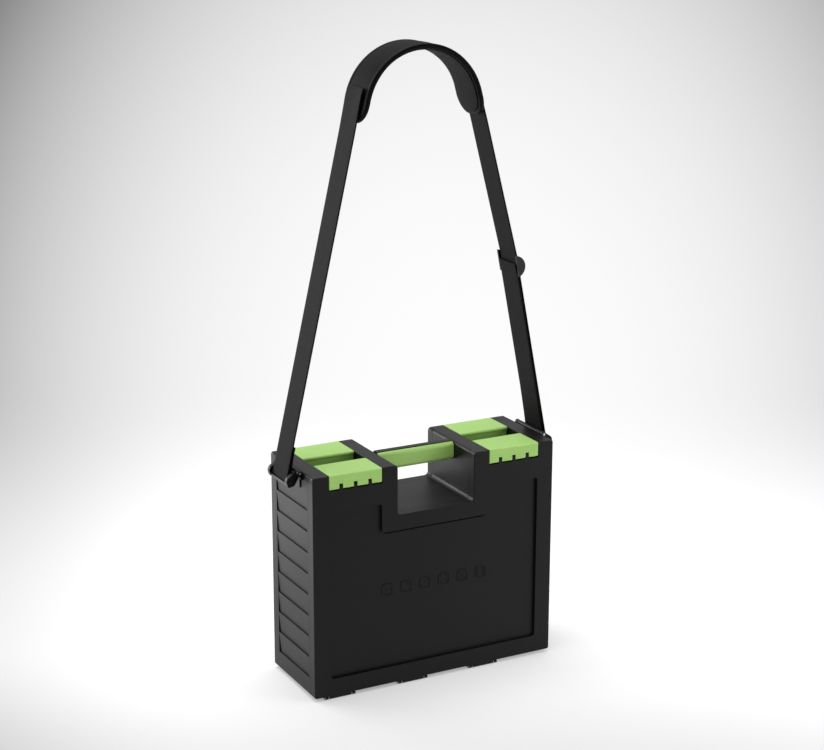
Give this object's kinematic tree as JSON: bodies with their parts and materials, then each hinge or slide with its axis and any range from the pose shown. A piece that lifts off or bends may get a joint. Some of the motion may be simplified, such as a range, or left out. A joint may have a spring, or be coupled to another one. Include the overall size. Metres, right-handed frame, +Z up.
{
  "type": "board game storage box",
  "caption": "Upright carrying case for board games, with hinged lids front and back, lever latches, a top handle and a padded shoulder strap.",
  "frame": {"origin": "on the floor under the middle of the case", "axes": "+Z up, -Y towards the front lid, +X towards the strap half with the slider"},
  "size_m": [0.367, 0.12, 0.7775],
  "materials": {
    "shell_black": "fine matte texture",
    "divider_black": "smooth",
    "green": "satin",
    "steel": "turned",
    "fitting_black": "satin",
    "webbing": "woven",
    "pad_cover": "smooth knit",
    "pad_mesh": "open mesh"
  },
  "bodies": {
    "case": {"base": "shell_black", "notch_frame": "shell_black", "latch_shelf_left": "shell_black", "latch_shelf_right": "shell_black", "outer_rail_left": "shell_black", "outer_rail_right": "shell_black", "side_panel_left": "shell_black", "side_panel_right": "shell_black", "divider_panel": "divider_black", "handle_core": "shell_black", "handle_grip": "green", "handle_screws": "steel", "strap_anchor_left": "fitting_black", "strap_anchor_right": "fitting_black", "anchor_screws_left": "steel", "anchor_screws_right": "steel", "strap_loop_left": "fitting_black", "strap_loop_right": "fitting_black", "loop_pin_left": "steel", "loop_pin_right": "steel", "hinge_pins_front": "steel", "hinge_pins_rear": "steel", "strap_left_end": "webbing", "strap_right_end": "webbing"},
    "front_lid": {"front_lid": "shell_black", "latch_pin_front_left": "steel", "latch_pin_front_right": "steel"},
    "rear_lid": {"rear_lid": "shell_black", "latch_pin_rear_left": "steel", "latch_pin_rear_right": "steel"},
    "latch_front_left": {"latch_front_left": "green"},
    "latch_front_right": {"latch_front_right": "green"},
    "latch_rear_left": {"latch_rear_left": "green"},
    "latch_rear_right": {"latch_rear_right": "green"},
    "strap": {"strap_left_webbing": "webbing", "strap_right_webbing": "webbing", "strap_right_return": "webbing", "shoulder_pad": "pad_cover", "pad_liner": "pad_mesh"},
    "slider": {"strap_slider": "fitting_black"}
  },
  "joints": [
    {"name": "front_lid_hinge", "type": "hinge", "parent": "case", "child": "front_lid", "pos_m": [0, -0.058, 0.002], "axis": [1, 0, 0], "range_deg": [0, 85]},
    {"name": "rear_lid_hinge", "type": "hinge", "parent": "case", "child": "rear_lid", "pos_m": [0, 0.058, 0.002], "axis": [-1, 0, 0], "range_deg": [0, 85]},
    {"name": "latch_front_left_lever", "type": "hinge", "parent": "front_lid", "child": "latch_front_left", "pos_m": [-0.1086, -0.0574, 0.2686], "axis": [1, 0, 0], "range_deg": [0, 95]},
    {"name": "latch_front_right_lever", "type": "hinge", "parent": "front_lid", "child": "latch_front_right", "pos_m": [0.1086, -0.0574, 0.2686], "axis": [1, 0, 0], "range_deg": [0, 95]},
    {"name": "latch_rear_left_lever", "type": "hinge", "parent": "rear_lid", "child": "latch_rear_left", "pos_m": [-0.1086, 0.0574, 0.2686], "axis": [-1, 0, 0], "range_deg": [0, 95]},
    {"name": "latch_rear_right_lever", "type": "hinge", "parent": "rear_lid", "child": "latch_rear_right", "pos_m": [0.1086, 0.0574, 0.2686], "axis": [-1, 0, 0], "range_deg": [0, 95]},
    {"name": "strap_swing", "type": "hinge", "parent": "case", "child": "strap", "pos_m": [0, 0, 0.273], "axis": [1, 0, 0], "range_deg": [-50, 50], "deforming": ["strap_left_end", "strap_right_end"]},
    {"name": "slider_slide", "type": "slide", "parent": "strap", "child": "slider", "axis": [-0.1943, 0, 0.9809], "range_m": [-0.12, 0], "deforming": ["strap_right_return"]}
  ]
}
